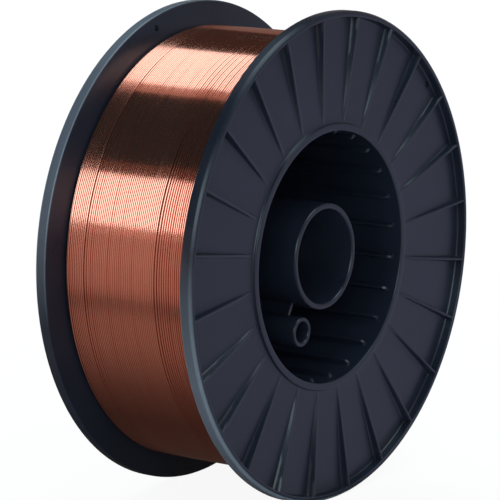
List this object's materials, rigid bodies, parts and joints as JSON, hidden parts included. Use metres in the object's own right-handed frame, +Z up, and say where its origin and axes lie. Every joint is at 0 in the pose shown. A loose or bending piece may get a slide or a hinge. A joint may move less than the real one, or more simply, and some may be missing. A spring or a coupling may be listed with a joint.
{
  "type": "spool of welding wire",
  "caption": "Moulded plastic spool with ribbed flanges, a hollow barrel, a spindle bore and a drive-pin tube, closely wound with copper-coated steel welding wire.",
  "frame": {"origin": "on the spool's axis, midway between the front planes of its two rims, at the centre of its overall box", "axes": "+Y along the spool's axis, from the open end of the barrel towards the closed end; +Z up, with the spool standing on its two rims; +X sideways"},
  "size_m": [0.2698, 0.103, 0.2698],
  "materials": {
    "moulded_plastic": "satin",
    "copper_coated_wire": "bright copper coat on drawn steel"
  },
  "bodies": {
    "root": {"spool": "moulded_plastic", "wire_coil": "copper_coated_wire"}
  },
  "joints": []
}
